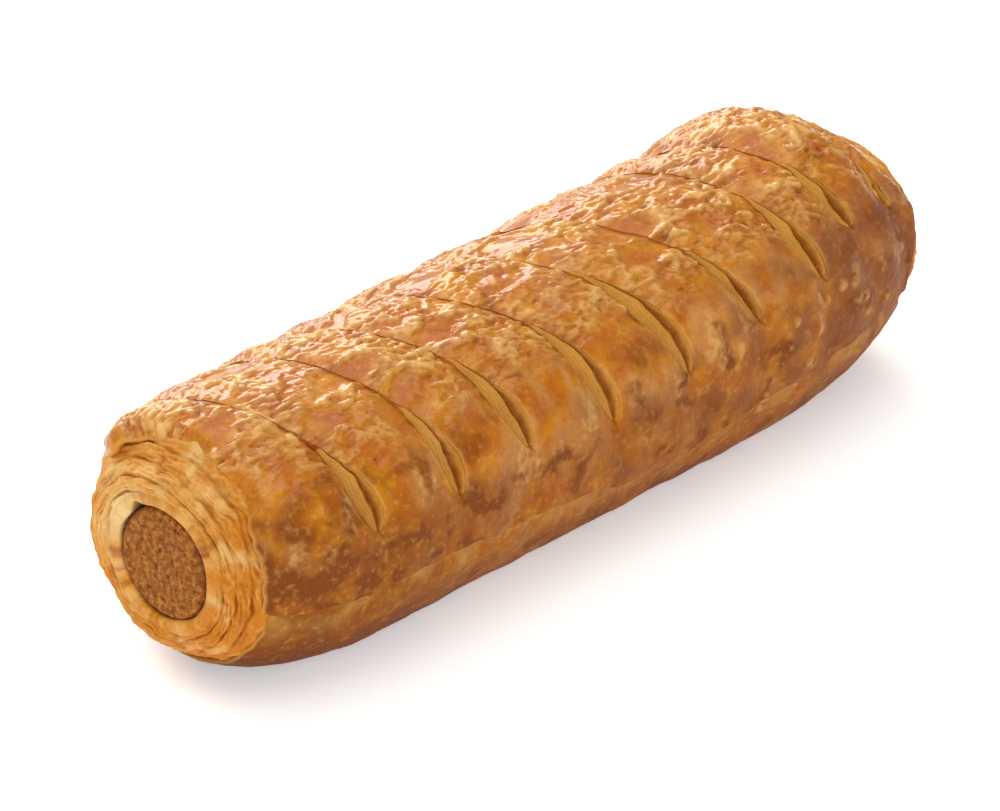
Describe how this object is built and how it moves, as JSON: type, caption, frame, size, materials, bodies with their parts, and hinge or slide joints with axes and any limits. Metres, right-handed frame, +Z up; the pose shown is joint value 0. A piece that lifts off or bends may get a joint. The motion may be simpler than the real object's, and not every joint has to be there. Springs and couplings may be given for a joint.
{
  "type": "sausage roll",
  "caption": "Baked puff pastry roll round a sausage meat filling, with diagonal slashes across its glazed top and rounded, layered ends.",
  "frame": {"origin": "middle of the flat base that the roll stands on", "axes": "+X along the roll from its near end to its far end, -Y towards the front flank, +Z up"},
  "size_m": [0.15, 0.0474, 0.0412],
  "materials": {
    "baked_pastry": "egg-glazed golden brown crust, matt paler layers at the ends and in the slashes",
    "sausage_meat": "matt, fine-grained cooked sausage meat"
  },
  "bodies": {
    "root": {"pastry": "baked_pastry", "filling": "sausage_meat"}
  },
  "joints": []
}
